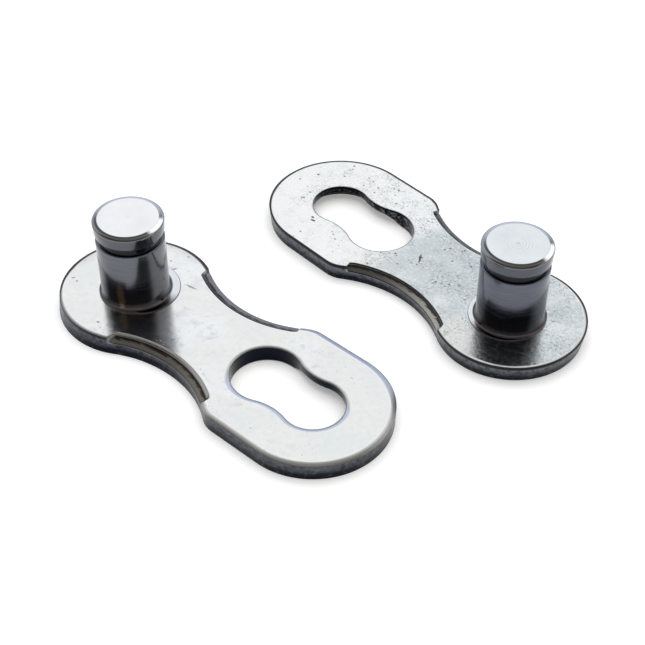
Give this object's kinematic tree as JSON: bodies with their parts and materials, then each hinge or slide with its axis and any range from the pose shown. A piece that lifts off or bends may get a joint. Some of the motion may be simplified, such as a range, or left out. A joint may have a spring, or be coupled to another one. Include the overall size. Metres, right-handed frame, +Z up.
{
  "type": "chain connecting link",
  "caption": "Matching halves of a bicycle chain connecting link laid apart: stamped plates with a riveted grooved pin at the round end and a keyhole slot that locks onto the other half's pin.",
  "frame": {"origin": "on the table, under the middle of the box round both halves", "axes": "+Z up, along the pins; +X to the right and +Y away from the viewer, as the halves lie in the picture"},
  "size_m": [0.0276, 0.0238, 0.0058],
  "materials": {
    "left_plate": "bright plated satin, nearly smooth, with faint stains and a few nicks",
    "left_pin": "ground and polished",
    "right_plate": "bright plated satin, finely pitted all over",
    "right_pin": "ground and polished, turned end face"
  },
  "bodies": {
    "root": {"left_plate": "left_plate", "left_pin": "left_pin", "right_plate": "right_plate", "right_pin": "right_pin"}
  },
  "joints": []
}
